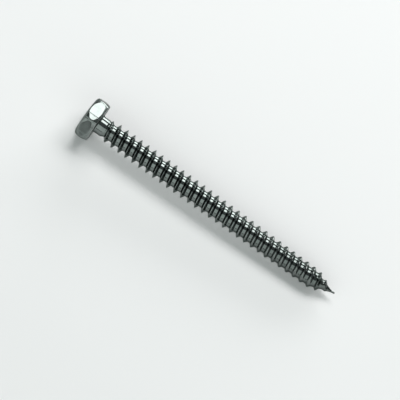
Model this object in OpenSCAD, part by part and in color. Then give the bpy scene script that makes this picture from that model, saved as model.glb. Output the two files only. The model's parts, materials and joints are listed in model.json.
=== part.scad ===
// Hexagon head tapping screw with a gimlet point, forged and thread rolled in one piece.
// It lies as it comes to rest, on one flat of its head and on a thread crest near its point.
// The origin is the centre of the bearing face, +X runs towards the point and +Z is up.
// Lengths are millimetres, angles are degrees.

/* [Head] */
// Width across the flats of the hexagon
head_af = 7.9; // [7:0.1:9]
// Height of the head over its bearing face
head_h = 3; // [2.6:0.05:4.2]
// How far each upright corner is rounded off, from the sharp corner
corner_cut = 0.09; // [0.05:0.01:0.4]
// How far the edge of the domed top lies inside the flats
top_inset = 0.35; // [0.2:0.05:1]
// Slope of the top chamfer where it leaves the dome, from a plane across the head
top_slope = 32; // [20:1:40]
// Rise of the domed top over its edge
crown_h = 0.2; // [0.05:0.05:0.4]
// How far the bearing face's edge lies outside the middle of each flat
bearing_outset = 0.22; // [0.18:0.02:0.3]
// Slope of the lower chamfer where it leaves the bearing face, from that face
bearing_slope = 55; // [40:1:65]

/* [Neck] */
// Diameter of the plain neck under the head
neck_d = 3.55; // [3.3:0.05:4]
// Length of the plain neck
neck_l = 1.6; // [0.9:0.1:4]
// Radius of the fillet between the head and the neck
neck_fillet = 0.4; // [0.2:0.05:0.6]
// Length of the cone from the neck down to the thread's root
neck_cone_l = 0.55; // [0.3:0.05:1.2]

/* [Thread] */
// Distance from crest to crest along the screw
pitch = 1.6; // [1.3:0.05:2.2]
// Diameter over the crests, next to the head
crest_d = 4.66; // [4.3:0.02:5]
// Diameter over the crests, where the point begins
crest_end_d = 4.1; // [3.7:0.05:4.6]
// Diameter at the root of the thread
root_d = 3.1; // [2.8:0.05:3.3]
// Length under the head over which the crests keep their full diameter
full_l = 24; // [8:1:44]
// Width of the land along the crest
crest_w = 0.08; // [0.04:0.01:0.2]
// Angle between the two flanks of a crest
flank_angle = 60; // [45:1:65]
// Turns over which the thread grows to its full height
run_in = 1.8; // [1:0.1:3]

/* [Point] */
// Length of the screw from the bearing face to the end of the point
screw_l = 54.3; // [30:0.1:90]
// Length of the cone of the point
cone_l = 4.25; // [3:0.05:7]
// Length of the pinched tip in front of the cone
tip_l = 0.7; // [0.2:0.05:1.2]
// Diameter of the pinched tip where it leaves the cone
tip_d = 0.36; // [0.16:0.02:0.5]
// Length over which the thread dies out on the cone
fade_l = 2.1; // [1:0.1:2.6]
// Length of bare cone between the end of the thread and the pinched tip
bare_l = 0.5; // [0.2:0.05:0.8]

/* [Hidden] */
// A fine $fn for the round surfaces
$fn = 96;

// Radius of the bearing face, of the domed top and over the rounded corners
bearing_r = head_af / 2 + bearing_outset;
top_r = head_af / 2 - top_inset;
corner_r = head_af / 2 / cos(30) - corner_cut;
// Radius of the sphere that domes the top
crown_r = (top_r ^ 2 + crown_h ^ 2) / (2 * crown_h);

// Stations along the screw, measured from the bearing face
cone_end = screw_l - tip_l;
cone_start = cone_end - cone_l;
fade_end = cone_end - bare_l;
fade_start = fade_end - fade_l;

// Facets in one turn of the thread
facets = 24;
// Turns of thread that lie inside the neck, before the crest comes out of it
lead_in = 0.75;
// Rows of the thread's surface, one for each facet, with row 0 at the end of the neck
first_row = -round(lead_in * facets);
last_row = ceil((fade_end - neck_l) / pitch * facets);
run_in_start = neck_l + first_row / facets * pitch;

// Height of the thread next to the head and where the point begins
crest_h = (crest_d - root_d) / 2;
crest_end_h = (crest_end_d - root_d) / 2;

// One tooth in section: places beside the crest's middle, and shares of the height there
foot = crest_w / 2 + crest_h * tan(flank_angle / 2);
// The flanks are hollow: this share of the way out to the foot, they have this share of the height
blend_place = 0.62;
blend_share = 0.22;
blend = crest_w / 2 + (foot - crest_w / 2) * blend_place;
tooth = [
    [-foot, 0],
    [-blend, blend_share],
    [-crest_w / 2, 1],
    [crest_w / 2, 1],
    [blend, blend_share],
    [foot, 0],
];
last_in_tooth = len(tooth) - 1;

// Where the thread's surface starts, inside the neck or the head
buried_x = run_in_start - 2 * foot;
// How far the neck's cone runs in under the thread's faceted core
cone_sink = 0.02;
// How far the foot of the neck's fillet lies inside the head, so that it crosses the bearing face
fillet_sink = 0.01;
// The pinched tip narrows to this share of its diameter
tip_taper = 0.85;

// Radius of the core and height of the thread at a station along the screw
function core_r(x) = lookup(x, [[cone_start, root_d / 2], [cone_end, tip_d / 2]]);
function thread_h(x) = lookup(x, [
    [run_in_start, 0],
    [run_in_start + run_in * pitch, crest_h],
    [max(full_l, run_in_start + run_in * pitch + pitch), crest_h],
    [cone_start, crest_end_h],
    [fade_start, crest_end_h],
    [fade_end, 0],
]);

// Station of a row's crest, and a point at a station on a row's half plane
function crest_x(row) = neck_l + pitch * row / facets;
function on_row(row, r, x) = [r * cos(360 * row / facets), r * sin(360 * row / facets), x];

// One row of the thread's surface: the tooth's section, standing on the core
function tooth_points(row) = [
    for (t = tooth)
        let (x = crest_x(row) + t[0])
        on_row(row, core_r(x) + t[1] * thread_h(crest_x(row)), x)
];
// A ring of plain points around the axis
function ring_points(first, r, x) = [for (k = [0:facets - 1]) on_row(first + k, r, x)];

// Tilt of the screw at rest: it tips about the lower flat's edge until a crest touches down
rest_slopes = [
    for (row = [facets:facets:last_row])
        let (x = crest_x(row) + crest_w / 2)
        (head_af / 2 - core_r(x) - thread_h(crest_x(row))) / x
];
rest_tilt = atan(min(rest_slopes));

// A ball whose surface has the given slope where it passes through a circle across the axis
module chamfer_ball(circle_r, slope, x, side) {
    ball_r = circle_r / sin(slope);
    translate([0, 0, x - side * ball_r * cos(slope)]) sphere(ball_r);
}

// The head: a hexagonal bar with rounded corners, cut by a chamfer at each end and by the dome
module head() {
    intersection() {
        translate([0, 0, -head_h])
            rotate(30)
            cylinder(h = head_h, d = head_af / cos(30), $fn = 6);
        translate([0, 0, -head_h]) cylinder(h = head_h, r = corner_r);
        chamfer_ball(bearing_r, bearing_slope, 0, 1);
        chamfer_ball(top_r, top_slope, crown_h - head_h, -1);
        translate([0, 0, crown_r - head_h]) sphere(crown_r);
    }
}

// The plain neck, with a fillet under the head and a cone that leads down to the root
module neck() {
    neck_r = neck_d / 2;
    cone_foot_r = root_d / 2 * cos(180 / facets) - cone_sink;
    rotate_extrude()
        polygon([
            [0, -head_h / 2],
            [neck_r, -head_h / 2],
            [neck_r, neck_l],
            [cone_foot_r, neck_l + neck_cone_l],
            [0, neck_l + neck_cone_l],
        ]);
    rotate_extrude()
        translate([0, -fillet_sink])
        difference() {
            square([neck_r + neck_fillet, neck_fillet]);
            translate([neck_r + neck_fillet, neck_fillet]) circle(neck_fillet);
        }
}

// The threaded shank and its point: one skin that follows the helix, closed at both ends
module threaded_shank() {
    rows = [first_row:last_row];
    row_count = last_row - first_row + 1;
    base = row_count * len(tooth);
    cone_ring = base + facets;
    tip_ring = cone_ring + facets;
    points = concat(
        [for (row = rows, p = tooth_points(row)) p],
        ring_points(first_row, core_r(buried_x), buried_x),
        ring_points(last_row + 1, tip_d / 2, cone_end),
        ring_points(last_row + 1, tip_d / 2 * tip_taper, screw_l)
    );

    // Index of a tooth's point, and of a point on one of the plain rings
    function at(row, j) = (row - first_row) * len(tooth) + j;
    function on_base(row) = base + (row - first_row) % facets;
    function on_ring(ring, row) = ring + (row - last_row - 1 + facets) % facets;
    function quad(a, b, c, d) = [[a, b, c], [a, c, d]];
    function fan(apex, rim) = [for (k = [0:len(rim) - 2]) [apex, rim[k], rim[k + 1]]];

    flanks = [
        for (row = [first_row:last_row - 1], j = [0:last_in_tooth - 1])
            each quad(at(row, j), at(row, j + 1), at(row + 1, j + 1), at(row + 1, j))
    ];
    roots = [
        for (row = [first_row:last_row - 1 - facets])
            each quad(
                at(row, last_in_tooth),
                at(row + facets, 0),
                at(row + 1 + facets, 0),
                at(row + 1, last_in_tooth)
            )
    ];

    // The start: a plain core down to the buried ring, with a seam where the first turn closes
    start_seam = first_row + facets - 1;
    start_sides = [
        for (row = [first_row:start_seam - 1])
            each quad(on_base(row), at(row, 0), at(row + 1, 0), on_base(row + 1))
    ];
    start_fan = fan(on_base(start_seam), [
        at(start_seam, 0),
        at(first_row + facets, 0),
        for (j = [last_in_tooth:-1:0]) at(first_row, j),
        on_base(first_row),
    ]);
    start_cap = [[for (k = [0:facets - 1]) base + k]];

    // The end: the bare cone, the seam where the last turn closes, and the pinched tip
    end_seam = last_row - facets + 1;
    end_sides = [
        for (row = [end_seam:last_row - 1])
            each quad(
                at(row, last_in_tooth),
                on_ring(cone_ring, row),
                on_ring(cone_ring, row + 1),
                at(row + 1, last_in_tooth)
            )
    ];
    end_fan = fan(at(end_seam, last_in_tooth), [
        at(last_row - facets, last_in_tooth),
        for (j = [0:last_in_tooth]) at(last_row, j),
        on_ring(cone_ring, last_row),
        on_ring(cone_ring, end_seam),
    ]);
    tip_sides = [
        for (row = [end_seam:last_row])
            each quad(
                on_ring(cone_ring, row),
                on_ring(tip_ring, row),
                on_ring(tip_ring, row + 1),
                on_ring(cone_ring, row + 1)
            )
    ];
    tip_cap = [[for (k = [facets - 1:-1:0]) tip_ring + k]];

    polyhedron(
        points,
        concat(flanks, roots, start_sides, start_fan, start_cap, end_sides, end_fan, tip_sides, tip_cap)
    );
}

module screw() {
    color("#9aa09c")
        rotate([0, 90 + rest_tilt, 0]) {
            head();
            neck();
            threaded_shank();
        }
}

screw();
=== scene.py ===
"""Looks of the hexagon head tapping screw: one closed skin with a rolled thread, plated in zinc.

The skin is worked out in the screw's own frame, in millimetres: a station x along the screw, measured from
the bearing face towards the point, a radius r, and an angle around the axis. Angle 0 looks down and a
quarter turn looks along +Y.
"""
import json
import math

import bpy
import numpy as np
from mathutils import Matrix, Vector


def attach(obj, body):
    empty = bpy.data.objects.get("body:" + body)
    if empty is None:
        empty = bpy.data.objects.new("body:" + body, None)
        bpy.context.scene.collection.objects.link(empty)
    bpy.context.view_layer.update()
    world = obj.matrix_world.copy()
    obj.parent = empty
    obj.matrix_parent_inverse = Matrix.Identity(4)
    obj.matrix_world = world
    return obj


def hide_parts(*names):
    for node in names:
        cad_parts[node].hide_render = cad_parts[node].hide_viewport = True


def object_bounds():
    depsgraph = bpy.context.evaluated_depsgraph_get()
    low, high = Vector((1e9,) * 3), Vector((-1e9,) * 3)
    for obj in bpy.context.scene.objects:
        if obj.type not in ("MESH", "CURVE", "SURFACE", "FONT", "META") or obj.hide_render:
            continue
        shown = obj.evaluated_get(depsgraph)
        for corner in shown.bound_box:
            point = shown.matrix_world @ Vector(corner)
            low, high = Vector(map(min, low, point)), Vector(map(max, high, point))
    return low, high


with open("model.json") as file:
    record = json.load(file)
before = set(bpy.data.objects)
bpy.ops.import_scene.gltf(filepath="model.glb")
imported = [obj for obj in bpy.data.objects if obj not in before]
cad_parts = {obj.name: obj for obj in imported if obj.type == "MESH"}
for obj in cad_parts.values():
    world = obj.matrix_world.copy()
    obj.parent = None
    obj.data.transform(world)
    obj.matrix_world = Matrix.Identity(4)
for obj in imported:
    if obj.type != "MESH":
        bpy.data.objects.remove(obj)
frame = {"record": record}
cad_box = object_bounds()

MM = 0.001
TURN = 2 * math.pi

# Sizes of the head, in millimetres
SIDES = 6
SIDE_ANGLE = TURN / SIDES
HEAD_AF = 7.9
HEAD_H = 3.0
CORNER_FILLET = 0.55
# The die line on each flat: its place across the flat, half its width and its depth
LINE_AT = 1.05
LINE_HALF = 0.1
LINE_DEPTH = 0.026
# The flats draw in towards both ends of the head and are left as ovals. How far from the bearing face
# and from the top they start to, in the middle of a flat and at a corner, and how steeply
DRAFT_L = (0.42, 1.05)
DRAFT_SLOPE = math.tan(math.radians(18))
SHOULDER_L = (0.4, 1.5)
SHOULDER_SLOPE = math.tan(math.radians(20))
TOP_R = 3.6
TOP_SLOPE = math.radians(32)
CROWN_H = 0.2
CROWN_BALL_R = (TOP_R ** 2 + CROWN_H ** 2) / (2 * CROWN_H)
BEARING_R = 4.17
BEARING_SLOPE = math.radians(55)
# A higher power leaves sharper edges between the faces of the head: in the middle of a flat and at a corner
EDGE_POWER = (64, 30)

# Sizes of the neck
NECK_R = 1.775
NECK_L = 1.6
NECK_FILLET = 0.4
# How far the foot of the fillet lies inside the head, and how far past the fillet the shank's skin starts
FILLET_SINK = 0.01
FILLET_GAP = 0.04
# The neck's cone runs in under the root by the sink
NECK_CONE_L = 0.55
CONE_SINK = 0.05

# Sizes of the point
SCREW_L = 54.3
TIP_L = 0.7
CONE_L = 4.25
TIP_R = 0.185
TIP_END_R = 0.175
TIP_ROUND = 0.05
CONE_END = SCREW_L - TIP_L
CONE_START = CONE_END - CONE_L
# Widths of the rounded joins at the two ends of the cone
CONE_START_BLEND = 0.12
CONE_END_BLEND = 0.08
# The pinched tip is bent away from the side that the root leans to: how far, and between which stations
TIP_BEND = 0.12
TIP_BEND_RUN = (CONE_END - 0.4, SCREW_L + 0.4)

# Sizes of the thread
PITCH = 1.6
ROOT_R = 1.55
# Stations where the height of the thread changes, and its height there
RUN_IN_START = 0.4
RUN_IN_L = 2.88
RUN_IN_END = RUN_IN_START + RUN_IN_L
FULL_L = 24.0
FADE_L = 2.1
BARE_L = 0.5
FADE_END = CONE_END - BARE_L
FADE_START = FADE_END - FADE_L
HEIGHT_STAGES = (RUN_IN_START, RUN_IN_END, FULL_L, CONE_START, FADE_START, FADE_END)
HEIGHTS = (0, 0.78, 0.78, 0.5, 0.66, 0)
# A turn counts as fully grown from this height on
GROWN_H = 0.3
# How far a flank runs out from its crest, and the power that makes it hollow
FLANK_RUN = 0.43
FLANK_POWER = 1.2
# The root between two turns is slightly hollow: half its width and how fast it rises to the sides
VALLEY_HALF = 0.42
VALLEY_BOW = 0.22
# Stations where the crests change, on the way from the head to the point
CREST_STAGES = (FULL_L - 8, CONE_START - 8, CONE_START - 0.5, CONE_START + 1.2)
# Half the width of the rounded crest at those stations
NOSE = (0.04, 0.11, 0.11, 0.03)
# The two lips of a rolled crest don't quite close: depth of the seam between them at those stations,
# and the largest share of the thread's height that it takes
SEAM = (0.004, 0.045, 0.045, 0.004)
SEAM_SHARE = 0.15
# The thread comes out of the neck with a rounded join of this width, and is clear of it at this station
JOIN_BLEND = 0.05
JOIN_END = NECK_L + 2 * PITCH
# The rolled root swells towards the point, and its middle leans away from the crests' axis
SWELL_STAGES = (8, CONE_START - 3, CONE_START, CONE_START + 2)
SWELL = (-0.07, 0.01, 0.01, 0)
LEAN_STAGES = (15, CONE_START - 3, CONE_START, CONE_START + 2.5)
LEAN = (0, 0.1, 0.1, 0)
LEAN_ANGLE = math.radians(-64.5)

# Columns around the shank and around the head
COLUMNS = 88
HEAD_COLUMNS = 168
# Columns on one flat: shares of half its plain width, and at the die line shares of half the line's width
FLAT_COLUMNS = np.array([-0.97, -0.8, -0.5, -0.2, 0.1, 0.34, 0.84, 0.97])
LINE_COLUMNS = np.array([-1.4, -1.0, -0.9, 0.0, 0.9, 1.0, 1.4])
# Points across half a tooth: in half widths of the crest, then as shares of the flank and of the root
ON_NOSE = np.array([0.0, 0.45, 0.9, 1.4, 2.0])
ON_FLANK = np.array([0.12, 0.26, 0.42, 0.6, 0.8, 1.0])
ON_ROOT = np.array([0.25, 0.5, 0.75, 1.0])
# Rings of the neck's fillet and of the dome, and the first and last of the dome's as shares of its rim
FILLET_RINGS = 10
DOME_RINGS = 16
DOME_SHARES = (0.9, 0.06)
# Points along one section of the head, and the length that one radian of turning counts for in spacing them
HEAD_POINTS = 64
TURNING_L = 1.1
# A section of the head is felt out by a fan of rays: how deep inside the outline they start, how far
# they swing to each side, in degrees, and their number
RAY_DEPTH = 1.0
RAY_SWING = 115
RAY_COUNT = 1500
# A ray that nears a face more slowly than this share of its length never meets it, and is given a far reach
SLOWEST = 1e-3
FAR = 1e3
# Neighbouring rays over which the bend of a section is averaged
BEND_RAYS = 25

# Finishes and painted light of which each point carries a share, from 0 to 1: the flanks' paler tone and
# the darkening towards the point are painted, and the seat's pale colour is partly painted
FINISHES = ("flank", "crest", "top", "edge", "seat", "neck", "dull")
# The top's finish comes in between these heights over the bearing face, and the seat's between these
# stations: the seat is rougher, and painted pale, partly as a painted reflection of the lit floor
TOP_RUN = (HEAD_H - CROWN_H - 0.12, HEAD_H - CROWN_H)
SEAT_RUN = (-0.06, -0.01)
# Share of the seat's pale colour painted on the rim around the bearing face, as a painted reflection of the
# lit floor
RIM_PAINTED_PALE = 0.8
# An edge of the head with this bend, in radians per millimetre, is fully worn
WORN_BEND = 4
# Painted sheen: a paler colour on the thread's flanks, standing in for the light that they reflect, comes
# in between these shares of the thread's height, and on the point between these stations
FLANK_SHEEN_RISE = (0.06, 0.4)
POINT_SHEEN_RUN = (CONE_START + 1, CONE_END - 0.5)
# Width of the polish along a crest, in half widths of the crest
POLISH_W = 1.5
# Painted shade: the plating is darkened towards the point: shares that come in between two stations, and
# the share at the tip
SHANK_PAINTED_SHADE = 0.4
SHANK_PAINTED_SHADE_RUN = (26, 46)
POINT_PAINTED_SHADE = 0.35
POINT_PAINTED_SHADE_RUN = (CONE_START + 1, CONE_END)
TIP_PAINTED_SHADE = 0.7

# Colours of the plating: the two that its mottle mixes, and those laid over them: worn crests and edges,
# the flanks' painted sheen, the painted shade towards the point, and the pale colour of the top's pits
# that is also painted on the seat
MOTTLE_COLOURS = ((0.165, 0.185, 0.177, 1), (0.195, 0.217, 0.209, 1))
FLANK_PAINTED_SHEEN_COLOUR = (0.21, 0.229, 0.221, 1)
WORN_COLOUR = (0.25, 0.27, 0.262, 1)
PAINTED_SHADE_COLOUR = (0.06, 0.068, 0.065, 1)
PITS_AND_PAINTED_SEAT_COLOUR = (0.46, 0.48, 0.47, 1)
# Tint of what the plating mirrors at grazing angles
GRAZING_TINT = (0.34, 0.36, 0.35, 1)
# Roughness that the pressed seat adds
SEAT_ROUGHNESS = 0.25
# Height of the grain all over, what the pitted top adds to it, height of the rings on the neck, and
# how strong and how deep all of it is
GRAIN = 0.2
TOP_GRAIN = 3.0
NECK_RINGS = 0.6
BUMP_STRENGTH = 0.25
BUMP_DEPTH = 0.02 * MM

# The studio: a pale floor with a slight gloss, sizes in metres
FLOOR_SIZE = 8
FLOOR_COLOUR = (0.83, 0.83, 0.83, 1)
FLOOR_ROUGHNESS = 0.12
FLOOR_IOR = 1.12
WORLD_COLOUR = (0.165, 0.188, 0.182, 1)
# Panels along the screw, all at one distance. For each, its angle from straight up, positive towards the
# front, and half its spread, in degrees, its two ends along X from the screw's middle, its radiance and
# its colour
WHITE = (1, 1, 1)
PANEL_DISTANCE = 0.6
PANELS = {
    "overhead_panel": (-31, 13, (-0.32, 0.28), 4.9, WHITE),
    "back_panel": (-78, 11, (-0.32, 0.28), 6.4, WHITE),
    "front_panel": (57, 27, (-1.2, 1.4), 0.95, (0.95, 1.0, 0.98)),
    "low_panel_left": (86.3, 3.2, (-1.0, -0.12), 0.8, WHITE),
    "low_panel_right": (86.3, 3.2, (0.12, 1.0), 0.8, WHITE),
}

# The photograph's width and where it has the middle of the bearing face and the point, in pixels
PICTURE = 400
BEARING_PX = Vector((98.3, 123.5))
POINT_PX = Vector((334.2, 293.8))
# The camera looks down from the front: its angle from the vertical, how far it leans towards the point,
# its distance in metres and the station that it looks at
VIEW_ANGLE = math.radians(25.5)
VIEW_LEAN = 0.038
VIEW_DISTANCE = 0.45
VIEW_X = 23.6


def between(ends, share):
    """The value at a share of the way between two ends."""
    return ends[0] + (ends[1] - ends[0]) * share


def smooth_max(a, b, blend):
    """The larger of two values, with a rounded join of the given width."""
    h = np.clip(0.5 + 0.5 * (a - b) / blend, 0, 1)
    return b + (a - b) * h + blend * h * (1 - h)


def smooth_min(a, b, blend):
    """The smaller of two values, with a rounded join of the given width."""
    return -smooth_max(-a, -b, blend)


def ease(x, start, end):
    """0 before start, 1 after end, and a smooth rise between them."""
    t = np.clip((x - start) / (end - start), 0, 1)
    return t * t * (3 - 2 * t)


class Skin:
    """Points, faces and point values of one mesh, gathered piece by piece."""

    def __init__(self):
        self.points = []
        self.faces = []
        self.values = {name: [] for name in FINISHES}

    def add(self, angle, r, x, **values):
        """Adds points and returns their indices, in the shape of the given arrays."""
        angle, r, x = np.broadcast_arrays(angle, r, x)
        first = len(self.points)
        self.points.extend(zip(angle.ravel(), r.ravel(), x.ravel()))
        for name, kept in self.values.items():
            kept.extend(np.broadcast_to(values.get(name, 0.0), angle.shape).ravel())
        return first + np.arange(angle.size).reshape(angle.shape)

    def bridge(self, lower, upper):
        """Quads between two rings with the same number of points."""
        for a, b, c, d in zip(lower, np.roll(lower, -1), np.roll(upper, -1), upper):
            self.faces.append((a, b, c, d))

    def stitch(self, inner, inner_angles, outer, outer_angles):
        """Triangles between two rings of a flat face that have different numbers of points."""
        k = m = 0
        while k < len(inner) or m < len(outer):
            next_inner = inner_angles[k] if k < len(inner) else math.inf
            next_outer = outer_angles[m] if m < len(outer) else math.inf
            a = inner[k % len(inner)]
            b = outer[m % len(outer)]
            if next_inner <= next_outer:
                k += 1
                self.faces.append((a, b, inner[k % len(inner)]))
            else:
                m += 1
                self.faces.append((a, b, outer[m % len(outer)]))

    def fan(self, rim, apex):
        """Triangles from a ring to one point."""
        for a, b in zip(rim, np.roll(rim, -1)):
            self.faces.append((a, b, apex))

    def quads(self, a, b, c, d):
        """Faces from four arrays of corners. A corner that falls on its neighbour is left out."""
        for corners in zip(a.ravel(), b.ravel(), c.ravel(), d.ravel()):
            kept = [p for k, p in enumerate(corners) if p != corners[k - 1]]
            if len(set(kept)) > 2:
                self.faces.append(tuple(kept))


def hexagon_outline():
    """Angles and radii of the head's outline: six flats, joined by rounded corners."""
    apothem = HEAD_AF / 2
    flat_half = (apothem - CORNER_FILLET) * math.tan(SIDE_ANGLE / 2)
    centre_r = (apothem - CORNER_FILLET) / math.cos(SIDE_ANGLE / 2)
    on_flat = flat_half * FLAT_COLUMNS
    on_line = LINE_AT + LINE_HALF * LINE_COLUMNS
    acrosses = np.sort(np.concatenate([on_flat, on_line]))
    arc_count = HEAD_COLUMNS // SIDES - len(acrosses)
    outline = []
    for side in range(SIDES):
        normal = TURN * side / SIDES
        corner = normal + SIDE_ANGLE / 2
        for across in acrosses:
            inward = LINE_DEPTH * max(0, 1 - abs(across - LINE_AT) / LINE_HALF)
            flat_r = apothem - inward
            outline.append((
                flat_r * math.cos(normal) - across * math.sin(normal),
                flat_r * math.sin(normal) + across * math.cos(normal),
            ))
        for k in range(arc_count):
            turn = normal + SIDE_ANGLE * (k + 0.5) / arc_count
            outline.append((
                centre_r * math.cos(corner) + CORNER_FILLET * math.cos(turn),
                centre_r * math.sin(corner) + CORNER_FILLET * math.sin(turn),
            ))
    outline = np.array(outline)
    angles = np.arctan2(outline[:, 1], outline[:, 0]) % TURN
    order = np.argsort(angles)
    return angles[order], np.hypot(outline[:, 0], outline[:, 1])[order]


def face_hit(gap, nearing):
    """Distance along each ray to a straight face, from the gap to it and how fast the ray nears it."""
    return np.where(nearing > SLOWEST, gap / np.maximum(nearing, SLOWEST), FAR)


def ball_hit(origin_r, origin_x, dir_r, dir_x, centre_x, ball_r):
    """Distance along each ray to a ball that is centred on the axis."""
    along = origin_r * dir_r + (origin_x - centre_x) * dir_x
    gap = origin_r ** 2 + (origin_x - centre_x) ** 2 - ball_r ** 2
    return -along + np.sqrt(along ** 2 - gap)


def chamfer_ball(circle_r, slope, x, side):
    """Centre and radius of a ball with the given slope where it passes through a circle across the axis."""
    ball_r = circle_r / math.sin(slope)
    return x - side * ball_r * math.cos(slope), ball_r


def head_profile(outline_r, off_flat):
    """The head's section on one column, from the bearing face up to the top.

    off_flat runs from 0 in the middle of a flat to 1 at a corner. The section's points are given as
    radii, stations, shares of the rim around the bearing face, and bends.
    """
    origin_r = outline_r - RAY_DEPTH
    origin_x = -HEAD_H / 2
    swing = np.radians(np.linspace(RAY_SWING, -RAY_SWING, RAY_COUNT))
    dir_r = np.cos(swing)
    dir_x = np.sin(swing)
    bow = off_flat ** 2
    power = between(EDGE_POWER, bow)
    draft_x = -between(DRAFT_L, bow)
    shoulder_x = between(SHOULDER_L, bow) - HEAD_H
    reaches = [face_hit(RAY_DEPTH, dir_r)]
    for slope, start_x in ((DRAFT_SLOPE, draft_x), (-SHOULDER_SLOPE, shoulder_x)):
        gap = RAY_DEPTH + slope * (start_x - origin_x)
        reaches.append(face_hit(gap, dir_r + slope * dir_x))
    reaches.append(face_hit(-origin_x, dir_x))
    balls = (
        chamfer_ball(BEARING_R, BEARING_SLOPE, 0.0, 1),
        chamfer_ball(TOP_R, TOP_SLOPE, CROWN_H - HEAD_H, -1),
        (CROWN_BALL_R - HEAD_H, CROWN_BALL_R),
    )
    rim, chamfer, crown = (ball_hit(origin_r, origin_x, dir_r, dir_x, *ball) for ball in balls)
    reaches += [rim, chamfer, crown]
    # The nearest face counts, with a rounded edge where two are as near
    total = np.sum([d ** -power for d in reaches], axis=0)
    reach = total ** (-1 / power)
    on_rim = rim ** -power / total
    r = origin_r + reach * dir_r
    x = origin_x + reach * dir_x
    # Points stand closer where the section turns
    step = np.hypot(np.diff(r), np.diff(x))
    heading = np.unwrap(np.arctan2(np.diff(x), np.diff(r)))
    turning = np.abs(np.diff(heading, prepend=heading[0]))
    measure = np.concatenate([[0], np.cumsum(step + TURNING_L * turning)])
    spots = np.linspace(0, measure[-1], HEAD_POINTS)
    middle = (measure[1:] + measure[:-1]) / 2
    mean_bend = np.convolve(turning / step, np.ones(BEND_RAYS) / BEND_RAYS, "same")
    bend = np.interp(spots, middle, mean_bend)
    return [np.interp(spots, measure, values) for values in (r, x, on_rim)] + [bend]


def build_head(skin, neck_ring, neck_angles):
    """The head's skin, from the ring at the foot of the neck's fillet out to the middle of the top."""
    angles, radii = hexagon_outline()
    half_side = SIDE_ANGLE / 2
    off_flat = np.abs((angles + half_side) % SIDE_ANGLE - half_side) / half_side
    sections = [head_profile(*column) for column in zip(radii, off_flat)]
    r, x, on_rim, bend = (np.array(values) for values in zip(*sections))
    top = ease(-x, *TOP_RUN)
    # The seat is made rougher and painted pale, and the rim around it painted pale: painted reflection of
    # the lit floor
    seat = np.maximum(ease(x, *SEAT_RUN), RIM_PAINTED_PALE * on_rim)
    edge = np.clip(bend / WORN_BEND, 0, 1)
    rings = skin.add(angles[:, None], r, x, top=top, edge=edge, seat=seat)
    skin.stitch(neck_ring, neck_angles, rings[:, 0], angles)
    for k in range(HEAD_POINTS - 1):
        skin.bridge(rings[:, k + 1], rings[:, k])
    # The dome runs in to the axis on rings that keep the columns of the head
    previous = rings[:, -1]
    rim_r = r[:, -1]
    for share in np.linspace(*DOME_SHARES, DOME_RINGS):
        ring_r = rim_r * share
        ring_x = CROWN_BALL_R - HEAD_H - np.sqrt(CROWN_BALL_R ** 2 - ring_r ** 2)
        ring = skin.add(angles, ring_r, ring_x, top=1.0)
        skin.bridge(ring, previous)
        previous = ring
    apex = skin.add(0.0, 0.0, -HEAD_H, top=1.0)
    skin.fan(previous[::-1], int(apex))


def neck_radius(x):
    """Radius of the plain neck and of the cone that leads down to the root."""
    return np.interp(x, [NECK_L, NECK_L + NECK_CONE_L], [NECK_R, ROOT_R - CONE_SINK])


def core_radius(x):
    """Radius of the core: a cylinder, then the cone of the point and its pinched tip."""
    cone = TIP_R + (CONE_END - x) * (ROOT_R - TIP_R) / CONE_L
    tip = np.interp(x, [CONE_END, SCREW_L], [TIP_R, TIP_END_R])
    return smooth_max(smooth_min(np.full_like(x, ROOT_R), cone, CONE_START_BLEND), tip, CONE_END_BLEND)


def root_swell(x, angle):
    """How far the rolled root stands out from the plain core."""
    swell = np.interp(x, SWELL_STAGES, SWELL)
    lean = np.interp(x, LEAN_STAGES, LEAN)
    return swell + lean * np.cos(angle - LEAN_ANGLE)


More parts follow.
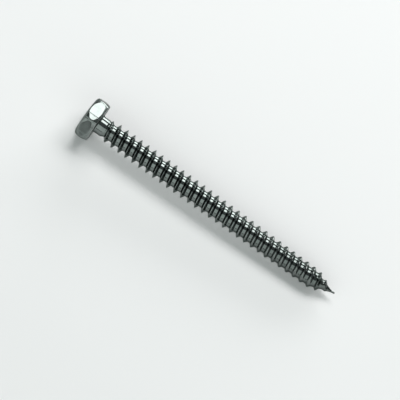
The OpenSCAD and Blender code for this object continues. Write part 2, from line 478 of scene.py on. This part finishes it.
def build_shank(skin, start_x, ring_angles):
    """The threaded skin: profiles that follow the helix, cut off square at the neck and at the tip."""
    end_x = SCREW_L - TIP_ROUND
    first = math.floor((start_x - PITCH / 2 - NECK_L) / PITCH * COLUMNS) - 1
    last = math.ceil((end_x + PITCH / 2 - NECK_L) / PITCH * COLUMNS) + 1
    rows = np.arange(first, last + 1)
    angle = (TURN * rows / COLUMNS)[:, None]
    crest_x = (NECK_L + PITCH * rows / COLUMNS)[:, None]
    height = np.interp(crest_x, HEIGHT_STAGES, HEIGHTS)
    grown = np.clip(height / GROWN_H, 0, 1)
    nose = np.interp(crest_x, CREST_STAGES, NOSE)
    seam = np.minimum(np.interp(crest_x, CREST_STAGES, SEAM), height * SEAM_SHARE)
    # Places across one tooth, from the middle of one root to the middle of the next
    foot = FLANK_RUN + nose
    nose_end = nose * ON_NOSE[-1]
    half = np.concatenate([
        nose * ON_NOSE,
        nose_end + (foot - nose_end) * ON_FLANK,
        foot + (PITCH / 2 - foot) * ON_ROOT,
    ], axis=1)
    across = np.concatenate([-half[:, :0:-1], half[:, :-1]], axis=1)
    beside = np.abs(across)
    x = np.clip(crest_x + across, start_x, end_x)
    # Each tooth is a rounded nose on two hollow flanks, with a shallow seam along its middle
    down = np.clip((np.sqrt(beside ** 2 + nose ** 2) - nose) / FLANK_RUN, 0, 1)
    rise = (1 - down) ** FLANK_POWER
    swell = root_swell(x, angle)
    core = core_radius(x) + swell
    hollow = VALLEY_BOW * np.minimum(PITCH / 2 - beside, VALLEY_HALF) ** 2 * grown * (1 - rise)
    tooth = rise * np.maximum(height - swell, 0) - seam * np.exp(-(beside / nose) ** 2)
    threaded = core + hollow + tooth
    joined = smooth_max(threaded, neck_radius(x), JOIN_BLEND)
    r = np.where(x > JOIN_END, threaded, joined)
    # Painted sheen: the flanks and the point get a paler colour that stands in for the light they reflect
    flank = np.maximum(ease(rise, *FLANK_SHEEN_RISE) * grown, ease(x, *POINT_SHEEN_RUN))
    polish = np.exp(-(beside / (POLISH_W * nose)) ** 2) * grown
    neck = 1 - ease(x, NECK_L, NECK_L + PITCH)
    # Painted shade: the plating darkens towards the point, and most at the tip
    dull = SHANK_PAINTED_SHADE * ease(x, *SHANK_PAINTED_SHADE_RUN) + POINT_PAINTED_SHADE * ease(x, *POINT_PAINTED_SHADE_RUN)
    points = skin.add(angle, r, x, flank=flank, crest=polish, neck=neck, dull=dull)
    # Points that were cut off fall together on one ring at each end
    start_ring = skin.add(ring_angles, neck_radius(start_x), start_x, neck=1.0)
    end_ring = skin.add(ring_angles, core_radius(end_x), end_x, dull=TIP_PAINTED_SHADE)
    column = (rows % COLUMNS)[:, None]
    points = np.where(x <= start_x, start_ring[column], points)
    points = np.where(x >= end_x, end_ring[column], points)
    next_turn = np.concatenate([points[COLUMNS:, :1], end_ring[column[-COLUMNS:]]])
    grid = np.concatenate([points, next_turn], axis=1)
    skin.quads(grid[:-1, :-1], grid[1:, :-1], grid[1:, 1:], grid[:-1, 1:])
    tip = skin.add(0.0, 0.0, SCREW_L, dull=TIP_PAINTED_SHADE)
    skin.fan(end_ring, int(tip))
    return start_ring


def build_screw():
    """The skin of the whole screw: shank, fillet and head."""
    skin = Skin()
    ring_angles = TURN * np.arange(COLUMNS) / COLUMNS
    fillet_x = NECK_FILLET - FILLET_SINK
    rings = [build_shank(skin, fillet_x + FILLET_GAP, ring_angles)]
    # The fillet under the head, from the neck out to the bearing face
    bottom = math.acos(fillet_x / NECK_FILLET)
    for turn in np.linspace(math.pi / 2, bottom, FILLET_RINGS):
        r = NECK_R + NECK_FILLET * (1 - math.sin(turn))
        x = fillet_x - NECK_FILLET * math.cos(turn)
        rings.append(skin.add(ring_angles, r, x))
    for near, far in zip(rings[1:], rings[:-1]):
        skin.bridge(near, far)
    build_head(skin, rings[-1], ring_angles)
    return skin


def screw_object(skin):
    """The skin as an object, laid at rest along the bearing face's own axis."""
    mounts = {m["name"]: m for m in frame["record"]["mounts"]}
    origin = Vector(mounts["bearing_face"]["pos_m"])
    along = Vector(mounts["bearing_face"]["axis"]).normalized()
    back = Vector((0, 1, 0))
    down = back.cross(along)
    angle, r, x = np.array(skin.points).T
    bend = TIP_BEND * ease(x, *TIP_BEND_RUN)
    sideways = r * np.sin(angle) - bend * math.sin(LEAN_ANGLE)
    downwards = r * np.cos(angle) - bend * math.cos(LEAN_ANGLE)
    spots = (
        downwards[:, None] * np.array(down)
        + sideways[:, None] * np.array(back)
        + x[:, None] * np.array(along)
    ) * MM + np.array(origin)
    # Points that no face uses are left out
    used = sorted({int(p) for face in skin.faces for p in face})
    place = {p: k for k, p in enumerate(used)}
    faces = [tuple(place[int(p)] for p in face) for face in skin.faces]
    mesh = bpy.data.meshes.new("screw_skin")
    mesh.from_pydata(spots[used].tolist(), [], faces)
    for name, values in skin.values.items():
        layer = mesh.attributes.new(name, "FLOAT", "POINT")
        layer.data.foreach_set("value", np.array(values, float)[used].astype(np.float32))
    mesh.shade_smooth()
    mesh.validate()
    piece = bpy.data.objects.new("screw_skin", mesh)
    bpy.context.scene.collection.objects.link(piece)
    return piece, origin, along


def new_material(name):
    """A material, and the shader that it comes with."""
    material = bpy.data.materials.new(name)
    material.use_nodes = True
    return material, material.node_tree.nodes["Principled BSDF"]


def zinc_material():
    """Zinc plating: mottled all over, with finishes and painted light laid over it one by one: a painted
    sheen on the flanks and the point, painted shade towards the point, and a pale colour painted on the
    seat.
    """
    material, shader = new_material("zinc_plating")
    nodes = material.node_tree.nodes
    links = material.node_tree.links
    place = nodes.new("ShaderNodeTexCoord").outputs["Object"]

    def noise(scale, detail, roughness=0.5):
        node = nodes.new("ShaderNodeTexNoise")
        node.inputs["Scale"].default_value = scale
        node.inputs["Detail"].default_value = detail
        node.inputs["Roughness"].default_value = roughness
        links.new(place, node.inputs["Vector"])
        return node.outputs["Fac"]

    def wave(scale, distortion):
        node = nodes.new("ShaderNodeTexWave")
        node.bands_direction = "X"
        node.inputs["Scale"].default_value = scale
        node.inputs["Distortion"].default_value = distortion
        links.new(place, node.inputs["Vector"])
        return node.outputs["Fac"]

    def attribute(name):
        node = nodes.new("ShaderNodeAttribute")
        node.attribute_name = name
        return node.outputs["Fac"]

    def ramp(value, low, high, start, end):
        """Maps values from low to high onto start to end."""
        node = nodes.new("ShaderNodeMapRange")
        node.inputs["From Min"].default_value = low
        node.inputs["From Max"].default_value = high
        node.inputs["To Min"].default_value = start
        node.inputs["To Max"].default_value = end
        links.new(value, node.inputs["Value"])
        return node.outputs["Result"]

    def math_node(operation, a, b):
        node = nodes.new("ShaderNodeMath")
        node.operation = operation
        for socket, value in zip(node.inputs, (a, b)):
            if isinstance(value, float):
                socket.default_value = value
            else:
                links.new(value, socket)
        return node.outputs["Value"]

    def lay_over(below, colour, share):
        """Lays a colour over another one, or over an output, by a share."""
        node = nodes.new("ShaderNodeMix")
        node.data_type = "RGBA"
        if isinstance(below, tuple):
            node.inputs["A"].default_value = below
        else:
            links.new(below, node.inputs["A"])
        node.inputs["B"].default_value = colour
        links.new(share, node.inputs["Factor"])
        return node.outputs["Result"]

    mottle = noise(scale=900.0, detail=3.0)
    speckle = noise(scale=5200.0, detail=4.0, roughness=0.7)
    cloud = noise(scale=240.0, detail=2.0)
    flank, crest, top, edge, seat, neck, dull = (attribute(name) for name in FINISHES)

    wear = math_node("MAXIMUM", crest, edge)
    patchy_wear = math_node("MULTIPLY", wear, ramp(cloud, low=0.3, high=0.7, start=0.35, end=0.9))
    pits = math_node("MULTIPLY", top, ramp(speckle, low=0.4, high=0.6, start=0.55, end=1.0))
    dark, light = MOTTLE_COLOURS
    colour = lay_over(dark, light, ramp(mottle, low=0.35, high=0.65, start=0.0, end=1.0))
    # Painted sheen: a paler colour laid over the flanks and the point
    colour = lay_over(colour, FLANK_PAINTED_SHEEN_COLOUR, flank)
    colour = lay_over(colour, WORN_COLOUR, patchy_wear)
    # Painted shade: a dark colour laid over the shank towards the point and over the tip
    colour = lay_over(colour, PAINTED_SHADE_COLOUR, dull)
    # Pale colour: real pits on the top, and painted pale on the seat and its rim as a painted reflection
    colour = lay_over(colour, PITS_AND_PAINTED_SEAT_COLOUR, math_node("MAXIMUM", seat, pits))
    links.new(colour, shader.inputs["Base Color"])
    shader.inputs["Metallic"].default_value = 1.0
    shader.inputs["Specular Tint"].default_value = GRAZING_TINT

    plain_roughness = ramp(mottle, low=0.3, high=0.7, start=0.08, end=0.13)
    on_top = math_node("MULTIPLY", top, ramp(speckle, low=0.35, high=0.65, start=0.1, end=0.3))
    on_seat = math_node("MULTIPLY", seat, SEAT_ROUGHNESS)
    added = math_node("ADD", on_top, on_seat)
    links.new(math_node("ADD", plain_roughness, added), shader.inputs["Roughness"])

    grain_height = math_node("ADD", math_node("MULTIPLY", top, TOP_GRAIN), GRAIN)
    grain = math_node("MULTIPLY", speckle, grain_height)
    ring_height = math_node("MULTIPLY", neck, NECK_RINGS)
    rings = math_node("MULTIPLY", wave(scale=1250.0, distortion=1.5), ring_height)
    bump = nodes.new("ShaderNodeBump")
    bump.inputs["Strength"].default_value = BUMP_STRENGTH
    bump.inputs["Distance"].default_value = BUMP_DEPTH
    links.new(math_node("ADD", grain, rings), bump.inputs["Height"])
    links.new(bump.outputs["Normal"], shader.inputs["Normal"])
    return material


def add_floor(level):
    """The plain floor that the screw lies on."""
    material, shader = new_material("pale_floor")
    shader.inputs["Base Color"].default_value = FLOOR_COLOUR
    shader.inputs["Roughness"].default_value = FLOOR_ROUGHNESS
    shader.inputs["IOR"].default_value = FLOOR_IOR
    bpy.ops.mesh.primitive_plane_add(size=FLOOR_SIZE, location=(0, 0, level))
    floor = bpy.context.object
    floor.name = "floor"
    floor.data.materials.append(material)


def add_panel(name, target, centre_deg, half_deg, ends, radiance, colour):
    """A soft panel along the screw that faces it from a given angle."""
    length = ends[1] - ends[0]
    angle = math.radians(centre_deg)
    outward = Vector((0, -math.sin(angle), math.cos(angle)))
    width = 2 * PANEL_DISTANCE * math.tan(math.radians(half_deg))
    data = bpy.data.lights.new(name, "AREA")
    data.shape = "RECTANGLE"
    data.size = length
    data.size_y = width
    data.energy = radiance * math.pi * length * width
    data.color = colour
    panel = bpy.data.objects.new(name, data)
    side = Vector((1, 0, 0))
    up = outward.cross(side)
    spot = target + outward * PANEL_DISTANCE + side * sum(ends) / 2
    panel.matrix_world = Matrix.Translation(spot) @ Matrix((side, up, outward)).transposed().to_4x4()
    bpy.context.scene.collection.objects.link(panel)


def add_camera(origin, along):
    """A camera that sees the bearing face and the point where the photograph has them."""
    aim = origin + along * VIEW_X * MM
    back = Vector((VIEW_LEAN, -math.sin(VIEW_ANGLE), math.cos(VIEW_ANGLE))).normalized()
    spot = aim + back * VIEW_DISTANCE
    right = Vector((0, 0, 1)).cross(back).normalized()
    up = back.cross(right)

    def project(point):
        away = point - spot
        depth = -away.dot(back)
        return complex(away.dot(right) / depth, -away.dot(up) / depth)

    # The turn, the lens and the shift that bring both ends of the shank to their pixels
    ends = [project(origin), project(origin + along * SCREW_L * MM)]
    pixels = [complex(*BEARING_PX), complex(*POINT_PX)]
    spin = (pixels[1] - pixels[0]) / (ends[1] - ends[0])
    roll = math.atan2(spin.imag, spin.real)
    middle = complex(PICTURE / 2, PICTURE / 2)
    shift = (pixels[0] - ends[0] * spin - middle) / PICTURE
    data = bpy.data.cameras.new("camera")
    data.sensor_width = 36
    data.lens = abs(spin) * data.sensor_width / PICTURE
    data.shift_x = -shift.real
    data.shift_y = shift.imag
    data.clip_start = 0.01
    data.clip_end = 20
    camera = bpy.data.objects.new("camera", data)
    turned = Matrix((right, up, back)).transposed() @ Matrix.Rotation(roll, 3, "Z")
    camera.matrix_world = Matrix.Translation(spot) @ turned.to_4x4()
    bpy.context.scene.collection.objects.link(camera)
    bpy.context.scene.camera = camera


piece, origin, along = screw_object(build_screw())
piece.data.materials.append(zinc_material())
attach(piece, "root")
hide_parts("screw")

add_floor(cad_box[0].z)
middle = origin + along * SCREW_L / 2 * MM
for name, settings in PANELS.items():
    add_panel(name, middle, *settings)
add_camera(origin, along)

world = bpy.data.worlds.new("studio")
world.use_nodes = True
world.node_tree.nodes["Background"].inputs["Color"].default_value = WORLD_COLOUR
bpy.context.scene.world = world
bpy.context.scene.view_settings.view_transform = "Standard"
